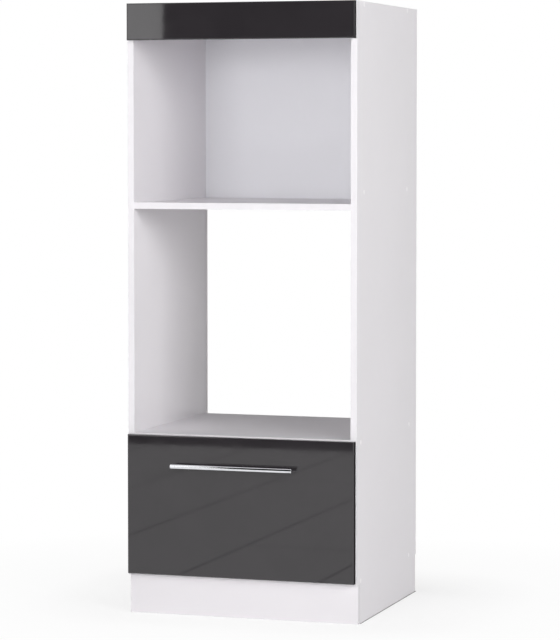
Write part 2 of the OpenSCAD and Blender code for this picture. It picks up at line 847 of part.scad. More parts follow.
// Round holes through a rail's web, given as [place along the rail, radius]
module web_holes(u, holes) {
  for (hole = holes) translate([u - EPS, slide_setback + hole[0], 0]) rotate([0, 90, 0])
    cylinder(h = sheet_t + 2 * EPS, r = hole[1]);
}

module cabinet_rail(side) {
  color(ZINC) from_front() at_slide(side) difference() {
    along_y(slide_setback, slide_l) cabinet_rail_outline();
    web_holes(0, [for (y = cabinet_rail_holes) [y, wood_screw_d / 2 + fit_gap]]);
  }
}

module middle_rail(side) {
  color(ZINC) from_front() at_slide(side) difference() {
    along_y(slide_setback, middle_rail_l) middle_rail_outline();
    web_holes(middle_web_u, [for (y = cabinet_rail_holes) [y, access_hole_r]]);
  }
}

module drawer_rail(side) {
  color(ZINC) from_front() at_slide(side) difference() {
    along_y(slide_setback, drawer_rail_l) drawer_rail_outline();
    web_holes(slide_t - sheet_t, [for (y = drawer_rail_holes) [y, wood_screw_d / 2 + fit_gap]]);
    web_holes(slide_t - sheet_t, [for (y = cabinet_rail_holes) [y, access_hole_r]]);
  }
}

// Rubber stop that fills a rail from u0 to u1, with a recess in the face it turns to the drawer
module rail_stop_outline(u0, u1, half_h, chamfer) {
  both_halves() polygon([
    [u0, 0], [u1 - stop_recess_u, 0], [u1 - stop_recess_u, stop_recess_v], [u1, stop_recess_v],
    [u1, half_h], [u0 + chamfer, half_h], [u0, half_h - chamfer]
  ]);
}

// Two folded strips with a row of ball holes each, at u of the strip and at the balls' u and v
module ball_cage(side, cage_y, strip_u, row_u, row_v) {
  tab_v = row_v + cage_tab_rise;
  color(STEEL) from_front() at_slide(side) for (m = [0, 1]) mirror([0, 0, m]) difference() {
    union() {
      translate([strip_u, cage_y, tab_v + cage_tab_t - cage_leg]) cube([cage_t, cage_l, cage_leg]);
      translate([strip_u, cage_y, tab_v]) cube([row_u + cage_tab_reach - strip_u, cage_l, cage_tab_t]);
    }
    for (i = [0:balls_per_row - 1])
      translate([row_u, cage_y + ball_end + i * ball_pitch, tab_v - EPS])
        cylinder(h = cage_tab_t + 2 * EPS, r = cage_hole_r);
  }
}

module ball_rows(cage_y, row_u, row_v) {
  color(CHROME) from_front() for (side = SIDES, v = [-row_v, row_v], i = [0:balls_per_row - 1])
    at_slide(side) translate([row_u, cage_y + ball_end + i * ball_pitch, v]) sphere(ball_r);
}

module cabinet_rail_left() {
  cabinet_rail(LEFT);
}

module cabinet_rail_right() {
  cabinet_rail(RIGHT);
}

module cabinet_rail_screws() {
  color(STEEL) from_front() at_cabinet_rail_screws() wood_screw();
}

// Stops against which the middle rails rest when the drawer is closed
module cabinet_rail_stops() {
  stop_y = slide_setback + slide_l - stop_l;
  color(RUBBER) from_front() for (side = SIDES) at_slide(side) along_y(stop_y, stop_l)
    rail_stop_outline(sheet_t, outer_u, slide_h / 2 - sheet_t, stop_chamfer);
}

module middle_rail_left() {
  middle_rail(LEFT);
}

module middle_rail_right() {
  middle_rail(RIGHT);
}

// Stops against which the drawer rails rest when the drawer is closed
module middle_rail_stops() {
  stop_y = slide_setback + middle_rail_l - stop_l;
  u0 = middle_web_u + sheet_t;
  half_h = outer_v - race_r - sheet_t;
  color(RUBBER) from_front() for (side = SIDES) at_slide(side) along_y(stop_y, stop_l)
    rail_stop_outline(u0, inner_u, half_h, stop_chamfer);
}

module outer_ball_cage_left() {
  ball_cage(LEFT, outer_cage_y, outer_strip_u, outer_u, outer_v);
}

module outer_ball_cage_right() {
  ball_cage(RIGHT, outer_cage_y, outer_strip_u, outer_u, outer_v);
}

module outer_balls() {
  ball_rows(outer_cage_y, outer_u, outer_v);
}

module inner_ball_cage_left() {
  ball_cage(LEFT, inner_cage_y, inner_strip_u, inner_u, inner_v);
}

module inner_ball_cage_right() {
  ball_cage(RIGHT, inner_cage_y, inner_strip_u, inner_u, inner_v);
}

module inner_balls() {
  ball_rows(inner_cage_y, inner_u, inner_v);
}

module drawer_rail_left() {
  drawer_rail(LEFT);
}

module drawer_rail_right() {
  drawer_rail(RIGHT);
}

module drawer_rail_screws() {
  color(STEEL) from_front() at_drawer_rail_screws() wood_screw();
}

// ---- drawer box ----

module drawer_side(side) {
  x0 = side == RIGHT ? drawer_w / 2 - board_t : -drawer_w / 2;
  difference() {
    translate([x0, 0, drawer_box_z]) cube([board_t, drawer_d, drawer_board_h]);
    at_box_screws([side]) translate([0, 0, -EPS]) confirmat(fit_gap);
    at_drawer_rail_screws([side]) wood_screw_hole();
    at_bottom_pins() pin_hole();
  }
}

module drawer_side_left() {
  color(WHITE) from_front() drawer_side(LEFT);
}

module drawer_side_right() {
  color(WHITE) from_front() drawer_side(RIGHT);
}

// Board between the drawer sides
module drawer_cross_board(y) {
  w = drawer_w - 2 * board_t;
  difference() {
    translate([-w / 2, y, drawer_box_z]) cube([w, board_t, drawer_board_h]);
    at_box_screws() translate([0, 0, -EPS]) confirmat(fit_gap);
    at_front_screws() wood_screw_hole(front_screw_l);
    at_bottom_pins() pin_hole();
    handle_screw_recess();
  }
}

module drawer_inner_front() {
  color(WHITE) from_front() drawer_cross_board(0);
}

module drawer_back() {
  color(WHITE) from_front() drawer_cross_board(drawer_d - board_t);
}

module drawer_bottom() {
  color(FIBREBOARD) from_front() difference() {
    translate([-drawer_w / 2, 0, drawer_bottom_z]) cube([drawer_w, drawer_d, back_t]);
    at_bottom_pins() pin_hole();
  }
}

module drawer_side_bands() {
  color(BANDING) from_front() for (x = [-drawer_w / 2, drawer_w / 2 - board_t])
    translate([x, 0, drawer_box_z + drawer_board_h]) cube([board_t, drawer_d, band_t]);
}

module drawer_cross_bands() {
  cross_w = drawer_w - 2 * board_t;
  color(BANDING) from_front() difference() {
    for (y = [0, drawer_d - board_t])
      translate([-cross_w / 2, y, drawer_box_z + drawer_board_h]) cube([cross_w, board_t, band_t]);
    handle_screw_recess();
  }
}

module drawer_box_screws() {
  color(STEEL) from_front() at_box_screws() confirmat_screw();
}

module drawer_front_screws() {
  color(STEEL) from_front() at_front_screws() wood_screw(front_screw_l);
}

module drawer_bottom_pins() {
  color(STEEL) from_front() at_bottom_pins() pin();
}

side_panel_left();
side_panel_right();
top_panel();
microwave_shelf();
oven_shelf();
bottom_panel();
niche_back_panel();
drawer_bay_back_panel();
side_edge_bands();
shelf_edge_bands();
top_fascia();
fascia_brackets();
fascia_bracket_screws();
confirmat_screws();
screw_caps();
wood_dowels();
shelf_cams();
shelf_cam_bolts();
back_panel_pins();
plinth_front();
plinth_back();
plinth_side_left();
plinth_side_right();
plinth_brackets();
plinth_bracket_screws();
cabinet_rail_left();
cabinet_rail_right();
cabinet_rail_screws();
cabinet_rail_stops();
middle_rail_left();
middle_rail_right();
middle_rail_stops();
outer_ball_cage_left();
outer_ball_cage_right();
outer_balls();
inner_ball_cage_left();
inner_ball_cage_right();
inner_balls();
drawer_rail_left();
drawer_rail_right();
drawer_rail_screws();
drawer_front();
handle();
handle_posts();
handle_screws();
drawer_front_screws();
drawer_side_left();
drawer_side_right();
drawer_inner_front();
drawer_back();
drawer_bottom();
drawer_side_bands();
drawer_cross_bands();
drawer_box_screws();
drawer_bottom_pins();
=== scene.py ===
import math

import bpy
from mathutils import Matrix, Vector

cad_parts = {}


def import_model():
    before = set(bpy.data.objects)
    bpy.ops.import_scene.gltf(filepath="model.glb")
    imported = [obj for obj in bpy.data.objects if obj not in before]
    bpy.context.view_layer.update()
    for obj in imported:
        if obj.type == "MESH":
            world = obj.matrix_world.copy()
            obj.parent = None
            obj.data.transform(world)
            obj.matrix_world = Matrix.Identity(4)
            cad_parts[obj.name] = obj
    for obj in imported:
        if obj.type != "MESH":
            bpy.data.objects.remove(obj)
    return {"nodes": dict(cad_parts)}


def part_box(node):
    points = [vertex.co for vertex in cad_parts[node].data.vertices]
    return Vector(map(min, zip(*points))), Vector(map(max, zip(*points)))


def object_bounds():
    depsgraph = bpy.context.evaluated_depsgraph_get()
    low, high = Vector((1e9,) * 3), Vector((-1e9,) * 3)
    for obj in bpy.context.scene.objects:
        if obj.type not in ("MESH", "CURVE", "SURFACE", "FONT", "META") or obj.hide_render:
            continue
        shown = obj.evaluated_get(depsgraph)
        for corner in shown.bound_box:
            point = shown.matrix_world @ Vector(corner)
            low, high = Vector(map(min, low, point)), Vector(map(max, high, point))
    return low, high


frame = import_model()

CAD_LOW, CAD_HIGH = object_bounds()
NODES = frame["nodes"]
# Two opposite corners of the plinth box.
PLINTH = (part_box("plinth_side_left")[0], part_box("plinth_side_right")[1])

# ---- camera ----------------------------------------------------------------
# Worked out from the photograph by a perspective fit to the cabinet's edges.
IMAGE_H = 640.0
SENSOR = 36.0
FOCAL_PX = 2792.3
YAW = math.radians(18.103)
PITCH = math.radians(2.813)
CAMERA_AT = (2.2416, -6.7977, 1.2153)
SHIFT_Y = -0.08
CLIP_START = 0.1
CLIP_END = 200.0


def make_camera():
    """The view of the photograph."""
    data = bpy.data.cameras.new("camera")
    data.sensor_width = SENSOR
    data.lens = FOCAL_PX * SENSOR / IMAGE_H
    data.shift_y = SHIFT_Y
    data.clip_start = CLIP_START
    data.clip_end = CLIP_END
    cam = bpy.data.objects.new("camera", data)
    cam.location = CAMERA_AT
    cam.rotation_euler = (math.pi / 2 - PITCH, 0.0, YAW)
    bpy.context.scene.collection.objects.link(cam)
    bpy.context.scene.camera = cam


make_camera()
bpy.context.scene.view_settings.view_transform = "Standard"

# ---- colour and node helpers -----------------------------------------------
BLACK = (0.0, 0.0, 0.0)
WHITE = (1.0, 1.0, 1.0)
# The part of a noise between its ends is spread over the whole range of tones or values.
TONE_ENDS = (0.35, 0.65)
WIDE_ENDS = (0.3, 0.7)
# Sockets of a Mix node in colour mode, which hides those of its other modes.
MIX_FACTOR, MIX_A, MIX_B, MIX_RESULT = 0, 6, 7, 2


def grey(level):
    return (level, level, level)


def darker(colour, share):
    return tuple(c * (1 - share) for c in colour)


def lighter(colour, share):
    return tuple(min(1.0, c * (1 + share)) for c in colour)


class Shader:
    """A small wrapper that adds nodes to one material or world."""

    def __init__(self, tree):
        self.tree = tree
        self.tree.nodes.clear()

    def add(self, kind, **settings):
        node = self.tree.nodes.new("ShaderNode" + kind)
        for key, value in settings.items():
            setattr(node, key, value)
        return node

    def link(self, out, into):
        self.tree.links.new(out, into)

    def feed(self, socket, value):
        """Set a socket to a number or a colour, or link it to another socket."""
        if isinstance(value, (int, float)):
            socket.default_value = value
        elif isinstance(value, tuple):
            socket.default_value = (*value, 1.0)
        else:
            self.link(value, socket)

    def math(self, operation, a, b=0.0):
        node = self.add("Math", operation=operation)
        self.feed(node.inputs[0], a)
        self.feed(node.inputs[1], b)
        return node.outputs[0]

    def coords(self):
        return self.add("TexCoord").outputs["Object"]

    def noise(self, scale, detail=2.0, roughness=0.5, stretch=None):
        """Noise between 0 and 1 in the frame's coordinates. scale is in cycles per metre."""
        vector = self.coords()
        if stretch:
            mapping = self.add("Mapping")
            mapping.inputs["Scale"].default_value = stretch
            self.link(vector, mapping.inputs["Vector"])
            vector = mapping.outputs["Vector"]
        node = self.add("TexNoise")
        node.inputs["Scale"].default_value = scale
        node.inputs["Detail"].default_value = detail
        node.inputs["Roughness"].default_value = roughness
        self.link(vector, node.inputs["Vector"])
        return node.outputs["Fac"]

    def ramp(self, fac, stops):
        """Colours along fac, from stops of a place and a colour."""
        node = self.add("ValToRGB")
        elements = node.color_ramp.elements
        while len(elements) < len(stops):
            elements.new(0.5)
        for element, (at, colour) in zip(elements, stops):
            element.position = at
            element.color = (*colour, 1.0)
        self.link(fac, node.inputs["Fac"])
        return node.outputs["Color"]

    def tone(self, fac, colour, down, up=None, ends=TONE_ENDS):
        """A colour that wanders between a darker and a lighter neighbour.

        down and up are the shares of the change. up is the same as down if it is left out.
        """
        light = lighter(colour, down if up is None else up)
        return self.ramp(fac, [(ends[0], darker(colour, down)), (ends[1], light)])

    def spread(self, fac, low, high):
        """Values from low to high along a noise."""
        node = self.add("MapRange")
        node.inputs["From Min"].default_value = WIDE_ENDS[0]
        node.inputs["From Max"].default_value = WIDE_ENDS[1]
        node.inputs["To Min"].default_value = low
        node.inputs["To Max"].default_value = high
        self.link(fac, node.inputs["Value"])
        return node.outputs["Result"]

    def mix(self, fac, a, b):
        """Colour a where fac is 0 and colour b where it is 1."""
        node = self.add("Mix", data_type="RGBA")
        for index, value in ((MIX_FACTOR, fac), (MIX_A, a), (MIX_B, b)):
            self.feed(node.inputs[index], value)
        return node.outputs[MIX_RESULT]

    def mix_shader(self, fac, a, b):
        """Shader a where fac is 0 and shader b where it is 1."""
        node = self.add("MixShader")
        for index, value in enumerate((fac, a, b)):
            self.link(value, node.inputs[index])
        return node.outputs[0]

    def coloured(self, kind, colour):
        """A shader node with one colour, for the staging."""
        node = self.add(kind)
        node.inputs["Color"].default_value = (*colour, 1.0)
        return node.outputs[0]

    def vector_math(self, operation, a, b=None):
        node = self.add("VectorMath", operation=operation)
        self.link(a, node.inputs[0])
        if b:
            node.inputs[1].default_value = b
        return node

    def normal_axis(self, axis):
        """How far the face turns to an axis, from -1 to 1."""
        split = self.add("SeparateXYZ")
        self.link(self.add("NewGeometry").outputs["Normal"], split.inputs[0])
        return split.outputs[axis]

    def bump(self, height, strength, distance):
        node = self.add("Bump")
        node.inputs["Strength"].default_value = strength
        node.inputs["Distance"].default_value = distance
        self.link(height, node.inputs["Height"])
        return node.outputs["Normal"]


def new_material(name):
    """A material with an empty node tree, and the wrapper of that tree."""
    material = bpy.data.materials.new(name)
    material.use_nodes = True
    return material, Shader(material.node_tree)


def principled(name):
    """A material with one principled shader, its wrapper and that shader."""
    material, s = new_material(name)
    bsdf = s.add("BsdfPrincipled")
    s.link(bsdf.outputs[0], s.add("OutputMaterial").inputs["Surface"])
    return material, s, bsdf


# ---- materials -------------------------------------------------------------
# Colours are linear. Noise scales are in cycles per metre. A roughness pair runs from the
# smoothest to the most worn spot, and a bump pair is its strength and its distance in metres.
# A limit is how far a face must turn to an axis, from 0 to 1, to count as facing that way.
LAMINATE = (0.865, 0.843, 0.868)
# The plinth boards' colour is the laminate darkened: painted shade for the plinth set back under
# the drawer front.
PLINTH_WHITE_PAINTED_SHADE = (0.80, 0.779, 0.803)
BANDING = (0.80, 0.782, 0.808)
LACQUER = (0.81, 0.81, 0.842)
CHIP_PALE = (0.60, 0.44, 0.28)
CHIP_DARK = (0.30, 0.19, 0.10)
HARDBOARD = (0.37, 0.245, 0.14)
ANTHRACITE = (0.0265, 0.0237, 0.0265)
CHROME = (0.78, 0.79, 0.82)
ZINC = (0.60, 0.62, 0.65)
STEEL = (0.52, 0.53, 0.55)
BEECH = (0.62, 0.41, 0.22)
CAP_WHITE = (0.99, 0.97, 0.985)
RUBBER = (0.018, 0.018, 0.019)

FLAKE_SCALE = 420.0
FLAKE_STRETCH = (1.0, 1.0, 0.6)
FLAKE_STOPS = [(0.36, CHIP_DARK), (0.48, darker(CHIP_PALE, 0.12)), (0.62, CHIP_PALE)]


def chipboard(s):
    """Raw chipboard edge: pale flakes with darker ones between them."""
    flakes = s.noise(FLAKE_SCALE, detail=3.0, roughness=0.65, stretch=FLAKE_STRETCH)
    return s.ramp(flakes, FLAKE_STOPS)


CLOUD_SCALE = 2.2
CLOUD_SHARE = 0.012
GRAIN_SCALE = 1700.0
GRAIN_SHARE = 0.05
GRAIN_SHADE = 0.14
GRAIN_BUMP = (0.03, 0.0002)
LAMINATE_WEAR_SCALE = 30.0
LAMINATE_ROUGHNESS = (0.34, 0.43)
LAMINATE_IOR = 1.42
RAW_ROUGHNESS = 0.85
REAR_LIMIT = 0.7


def laminate(name, colour, raw_rear=False):
    """White melamine with a fine pearl texture, and raw chipboard on the rear edge if asked."""
    material, s, bsdf = principled(name)
    clouds = s.tone(s.noise(CLOUD_SCALE, detail=3.0), colour, CLOUD_SHARE)
    grain = s.noise(GRAIN_SCALE, detail=1.0)
    face = s.mix(s.spread(grain, 0.0, GRAIN_SHARE), clouds, darker(colour, GRAIN_SHADE))
    rough = s.spread(s.noise(LAMINATE_WEAR_SCALE, detail=4.0), *LAMINATE_ROUGHNESS)
    if raw_rear:
        raw = s.math("GREATER_THAN", s.normal_axis("Y"), REAR_LIMIT)
        face = s.mix(raw, face, chipboard(s))
        rough = s.math("MAXIMUM", rough, s.math("MULTIPLY", raw, RAW_ROUGHNESS))
    s.link(face, bsdf.inputs["Base Color"])
    s.link(rough, bsdf.inputs["Roughness"])
    bsdf.inputs["IOR"].default_value = LAMINATE_IOR
    s.link(s.bump(grain, *GRAIN_BUMP), bsdf.inputs["Normal"])
    return material


BAND_SCALE = 40.0
BAND_STRETCH = (1.0, 1.0, 0.1)
BAND_SHARE = 0.01
BAND_WEAR_SCALE = 120.0
BAND_ROUGHNESS = (0.30, 0.38)
BAND_BUMP_SCALE = 900.0
BAND_BUMP = (0.05, 0.0002)


def edge_banding():
    """Smooth plastic banding, a little brighter than the boards."""
    material, s, bsdf = principled("edge_banding")
    streaks = s.noise(BAND_SCALE, detail=2.0, stretch=BAND_STRETCH)
    s.link(s.tone(streaks, BANDING, BAND_SHARE), bsdf.inputs["Base Color"])
    s.link(s.spread(s.noise(BAND_WEAR_SCALE), *BAND_ROUGHNESS), bsdf.inputs["Roughness"])
    s.link(s.bump(s.noise(BAND_BUMP_SCALE), *BAND_BUMP), bsdf.inputs["Normal"])
    return material


LACQUER_SCALE = 3.0
LACQUER_SHARE = 0.012
FIBRE_SCALE = 650.0
BLOT_SCALE = 55.0
BROWN_DOWN = 0.25
BROWN_UP = 0.22
BROWN_ENDS = (0.36, 0.64)
RAW_LIMIT = 0.5
BOARD_WEAR_SCALE = 60.0
BOARD_ROUGHNESS = (0.36, 0.44)
RAW_EXTRA = 0.25
FIBRE_BUMP = (0.08, 0.0003)


def fibreboard(name, axis, sign):
    """Thin board, lacquered white on one face and raw brown on the face along axis."""
    material, s, bsdf = principled(name)
    white = s.tone(s.noise(LACQUER_SCALE, detail=3.0), LACQUER, LACQUER_SHARE)
    fibres = s.noise(FIBRE_SCALE, detail=3.0, roughness=0.7)
    blots = s.noise(BLOT_SCALE, detail=4.0, roughness=0.6)
    mean = s.math("MULTIPLY", s.math("ADD", fibres, blots), 0.5)
    brown = s.tone(mean, HARDBOARD, BROWN_DOWN, BROWN_UP, BROWN_ENDS)
    outward = s.math("MULTIPLY", s.normal_axis(axis), sign)
    raw = s.math("GREATER_THAN", outward, RAW_LIMIT)
    s.link(s.mix(raw, white, brown), bsdf.inputs["Base Color"])
    smooth = s.spread(s.noise(BOARD_WEAR_SCALE), *BOARD_ROUGHNESS)
    rough = s.math("ADD", smooth, s.math("MULTIPLY", raw, RAW_EXTRA))
    s.link(rough, bsdf.inputs["Roughness"])
    s.link(s.bump(fibres, *FIBRE_BUMP), bsdf.inputs["Normal"])
    return material


FOIL_SCALE = 9.0
FOIL_SHARE = 0.05
FOIL_REAR_LIMIT = 0.9
FOIL_END_LIMIT = 0.97
FOIL_WEAR_SCALE = 25.0
FOIL_ROUGHNESS = (0.025, 0.045)
FOIL_REAR_EXTRA = 0.38
FOIL_END_EXTRA = 0.5
FOIL_SPECULAR = 0.5
FOIL_IOR = 1.6
FOIL_WAVE_SCALE = 55.0
FOIL_WAVE = (0.012, 0.0006)


def gloss_front():
    """Anthracite high-gloss foil, matt on the ends and white on the rear face."""
    material, s, bsdf = principled("gloss_front")
    foil = s.tone(s.noise(FOIL_SCALE, detail=2.0), ANTHRACITE, FOIL_SHARE)
    rear = s.math("GREATER_THAN", s.normal_axis("Y"), FOIL_REAR_LIMIT)
    sideways = s.math("ABSOLUTE", s.normal_axis("X"))
    end = s.math("GREATER_THAN", sideways, FOIL_END_LIMIT)
    s.link(s.mix(rear, foil, LAMINATE), bsdf.inputs["Base Color"])
    gloss = s.spread(s.noise(FOIL_WEAR_SCALE, detail=3.0), *FOIL_ROUGHNESS)
    matt = s.math("ADD", s.math("MULTIPLY", rear, FOIL_REAR_EXTRA),
                  s.math("MULTIPLY", end, FOIL_END_EXTRA))
    s.link(s.math("ADD", gloss, matt), bsdf.inputs["Roughness"])
    specular = s.math("SUBTRACT", FOIL_SPECULAR, s.math("MULTIPLY", end, FOIL_SPECULAR))
    s.link(specular, bsdf.inputs["Specular IOR Level"])
    bsdf.inputs["IOR"].default_value = FOIL_IOR
    s.link(s.bump(s.noise(FOIL_WAVE_SCALE, detail=1.0), *FOIL_WAVE), bsdf.inputs["Normal"])
    return material


METAL_SCALE = 60.0
ROLLED_SCALE = 90.0
ROLLED = (1.0, 0.06, 1.0)
METAL_SHARE = 0.05
SMOOTHER = 0.85
ROUGHER = 1.2
METAL_BUMP_SCALE = 700.0
METAL_BUMP = (0.05, 0.0001)
ZINC_ROUGHNESS = 0.3
STEEL_ROUGHNESS = 0.34
CHROME_ROUGHNESS = 0.06
BALL_ROUGHNESS = 0.1


def metal(name, colour, roughness, streak=None, bumpy=False):
    """Plated or polished metal, with streaks along one axis where the sheet was rolled."""
    material, s, bsdf = principled(name)
    cloud = s.noise(ROLLED_SCALE if streak else METAL_SCALE, detail=3.0, stretch=streak)
    s.link(s.tone(cloud, colour, METAL_SHARE, ends=WIDE_ENDS), bsdf.inputs["Base Color"])
    bsdf.inputs["Metallic"].default_value = 1.0
    rough = s.spread(cloud, roughness * SMOOTHER, roughness * ROUGHER)
    s.link(rough, bsdf.inputs["Roughness"])
    if bumpy:
        fine = s.noise(METAL_BUMP_SCALE, stretch=streak)
        s.link(s.bump(fine, *METAL_BUMP), bsdf.inputs["Normal"])
    return material


WOOD_SCALE = 300.0
WOOD_STRETCH = (0.12, 1.0, 1.0)
WOOD_DOWN = 0.2
WOOD_UP = 0.12
WOOD_ROUGHNESS = (0.55, 0.7)
WOOD_BUMP = (0.2, 0.0003)


def beech():
    """Dowel wood with its grain along X."""
    material, s, bsdf = principled("beech")
    grain = s.noise(WOOD_SCALE, detail=4.0, stretch=WOOD_STRETCH)
    s.link(s.tone(grain, BEECH, WOOD_DOWN, WOOD_UP, WIDE_ENDS), bsdf.inputs["Base Color"])
    s.link(s.spread(grain, *WOOD_ROUGHNESS), bsdf.inputs["Roughness"])
    s.link(s.bump(grain, *WOOD_BUMP), bsdf.inputs["Normal"])
    return material


CAP_SCALE = 200.0
CAP_SHARE = 0.015
CAP_WEAR_SCALE = 400.0
CAP_ROUGHNESS = (0.34, 0.4)
CAP_IOR = 1.5
CAP_BUMP_SCALE = 1500.0
CAP_BUMP = (0.05, 0.0001)


def cap_plastic():
    """White plastic of the screw caps, paler than the boards."""
    material, s, bsdf = principled("cap_plastic")
    s.link(s.tone(s.noise(CAP_SCALE), CAP_WHITE, CAP_SHARE), bsdf.inputs["Base Color"])
    s.link(s.spread(s.noise(CAP_WEAR_SCALE), *CAP_ROUGHNESS), bsdf.inputs["Roughness"])
    bsdf.inputs["IOR"].default_value = CAP_IOR
    s.link(s.bump(s.noise(CAP_BUMP_SCALE), *CAP_BUMP), bsdf.inputs["Normal"])
    return material


RUBBER_SCALE = 250.0
RUBBER_SHARE = 0.2
RUBBER_WEAR_SCALE = 350.0
RUBBER_ROUGHNESS = (0.6, 0.75)
RUBBER_BUMP_SCALE = 1200.0
RUBBER_BUMP = (0.1, 0.0001)


def rubber():
    """Black rubber of the stops in the slides."""
    material, s, bsdf = principled("rubber")
    cloud = s.noise(RUBBER_SCALE, detail=3.0)
    s.link(s.tone(cloud, RUBBER, RUBBER_SHARE), bsdf.inputs["Base Color"])
    s.link(s.spread(s.noise(RUBBER_WEAR_SCALE), *RUBBER_ROUGHNESS), bsdf.inputs["Roughness"])
    s.link(s.bump(s.noise(RUBBER_BUMP_SCALE), *RUBBER_BUMP), bsdf.inputs["Normal"])
    return material


def dress(material, *names):
    """Give the named pieces this material as their only one."""
    for name in names:
        data = NODES[name].data
        data.materials.clear()
        data.materials.append(material)


def dress_boards():
    dress(laminate("laminate_raw_edge", LAMINATE, raw_rear=True),
          "side_panel_left", "side_panel_right", "oven_shelf", "top_panel",
          "microwave_shelf", "bottom_panel")
    dress(laminate("laminate", LAMINATE), "plinth_side_left", "plinth_side_right",
          "drawer_side_left", "drawer_side_right", "drawer_inner_front", "drawer_back")
    # The front and back plinth boards get a darker copy of the laminate: painted shade.
    dress(laminate("plinth_laminate_painted_shade", PLINTH_WHITE_PAINTED_SHADE), "plinth_front", "plinth_back")
    dress(edge_banding(), "side_edge_bands", "shelf_edge_bands", "drawer_side_bands",
          "drawer_cross_bands")
    dress(fibreboard("fibreboard_back", "Y", 1.0), "niche_back_panel", "drawer_bay_back_panel")
    dress(fibreboard("fibreboard_bottom", "Z", -1.0), "drawer_bottom")
    dress(gloss_front(), "top_fascia", "drawer_front")


def dress_fittings():
    dress(metal("chrome", CHROME, CHROME_ROUGHNESS), "handle", "handle_posts")
    dress(rubber(), "cabinet_rail_stops", "middle_rail_stops")
    dress(metal("ball_steel", CHROME, BALL_ROUGHNESS), "outer_balls", "inner_balls")
    dress(beech(), "wood_dowels")
    dress(cap_plastic(), "screw_caps")
    dress(metal("zinc_sheet", ZINC, ZINC_ROUGHNESS, streak=ROLLED, bumpy=True),
          "cabinet_rail_left", "cabinet_rail_right", "middle_rail_left", "middle_rail_right",
          "drawer_rail_left", "drawer_rail_right", "fascia_brackets", "plinth_brackets",
          "shelf_cams", "outer_ball_cage_left", "outer_ball_cage_right",
          "inner_ball_cage_left", "inner_ball_cage_right")
    dress(metal("screw_steel", STEEL, STEEL_ROUGHNESS, bumpy=True),
          "fascia_bracket_screws", "confirmat_screws", "shelf_cam_bolts", "back_panel_pins",
          "plinth_bracket_screws", "cabinet_rail_screws", "drawer_rail_screws",
          "handle_screws", "drawer_front_screws", "drawer_box_screws", "drawer_bottom_pins")


dress_boards()
dress_fittings()

# ---- studio ----------------------------------------------------------------
# The floor is plain and pale. Close to the cabinet it takes the shadows, and away from it
# it turns to white. WHITE_SHARE gives the share of white along FLOOR_FADE metres.
FLOOR_SIZE = 60.0
FLOOR_COLOUR = (0.80, 0.79, 0.80)
FLOOR_FADE = 1.2
SHADOW_CENTRE = 0.1
SHADOW_HALF = 0.2
WHITE_SHARE = [(0.0, grey(0.70)), (0.1, grey(0.775)), (0.28, grey(0.92)), (0.8, WHITE)]
# A painted contact shadow: a dark line drawn on the floor where the plinth meets it.
PAINTED_CONTACT_SHADOW = grey(0.2)
PAINTED_SHADOW_WIDTH = 0.004
PAINTED_SHADOW_FADE = [(0.4, BLACK), (1.0, WHITE)]
# The tile joints that the drawer front mirrors: a corner of one tile, width and length of
# a tile, and half the width and the depth of shade of a joint.
TILE_CORNER = (-0.388, -1.465)
TILE_SIZE = (0.4025, 3.0)
JOINT_HALF = 0.006
JOINT_SHADE = 0.45

AMBIENT = grey(0.02)
# The wall in front, which keeps the gloss fronts dark.
FRONT_Y = -0.268
WALL_AWAY = 3.6
WALL_Y = FRONT_Y - WALL_AWAY
WALL_END = 9.0
WALL_HALF = 8.0
WALL_STRENGTH = 0.0
WALL = [(-WALL_HALF, 0.0), (WALL_HALF, 0.0), (WALL_HALF, WALL_END), (-WALL_HALF, WALL_END)]
# Soft lights on the left of that wall. Their right edges bound the dark slit on the handle,
# and the gap between them keeps the fascia dark.
ROOM_LEFT = -6.3
LIGHT_Y = WALL_Y + 0.05
LIGHT_STRENGTH = 1.0
LOW_LIGHT = [(ROOM_LEFT, 0.06), (-1.25, 0.06), (-1.3, 1.45), (ROOM_LEFT, 1.45)]
HIGH_LIGHT = [(ROOM_LEFT, 1.85), (-1.39, 1.85), (-1.53, 2.67), (-1.74, 3.6), (-2.13, 5.06),
              (-2.82, 7.29), (-3.36, WALL_END), (ROOM_LEFT, WALL_END)]
# The window whose edge shows as the pale left end of the fascia.
WINDOW_Y = WALL_Y + 0.06
WINDOW_STRENGTH = 2.2
WINDOW = [(-3.52, 0.8), (-1.523, 0.8), (-1.523, 3.0), (-3.52, 3.0)]
# A dim panel behind the cabinet, which keeps the satin boards from turning white.
BEHIND_Y = 3.2
BEHIND_STRENGTH = 0.2
BEHIND = [(-3.75, 0.25), (0.25, 0.25), (0.25, 2.05), (-3.75, 2.05)]

LAMP_TARGET = (0.0, 0.0, 0.9)
# Name, place, width and height, and power in watts of each soft lamp.
LAMPS = [("front", (0.0, -6.0, 1.5), (3.0, 1.5), 166.0),
         ("front_high", (0.0, -5.6, 3.0), (9.0, 1.4), 47.0),
         ("overhead", (0.0, -1.2, 4.8), (3.0, 2.0), 12.0),
         ("right_high", (4.8, -3.2, 2.4), (3.0, 2.0), 172.0),
         ("right_top", (5.0, -0.5, 2.8), (3.0, 2.0), 20.0),
         ("top", (0.0, 0.15, 4.2), (1.4, 0.6), 32.0),
         ("left", (-5.0, 0.0, 1.5), (0.8, 2.0), 85.0),
         ("rear_left", (-2.5, 5.0, 0.9), (3.0, 1.2), 30.0),
         ("right_rear", (4.0, 2.5, 2.0), (3.0, 2.0), 3.0)]


def sheet(name, corners):
    """A flat staging face through the given corners."""
    mesh = bpy.data.meshes.new(name)
    mesh.from_pydata(corners, [], [tuple(range(len(corners)))])
    obj = bpy.data.objects.new(name, mesh)
    bpy.context.scene.collection.objects.link(obj)
    return obj


def seen_rays(s):
    """1 for camera, glossy and transmission rays, 0 for the light that falls on the object."""
    path = s.add("LightPath")
    both = s.math("MAXIMUM", path.outputs["Is Camera Ray"], path.outputs["Is Glossy Ray"])
    return s.math("MAXIMUM", both, path.outputs["Is Transmission Ray"])


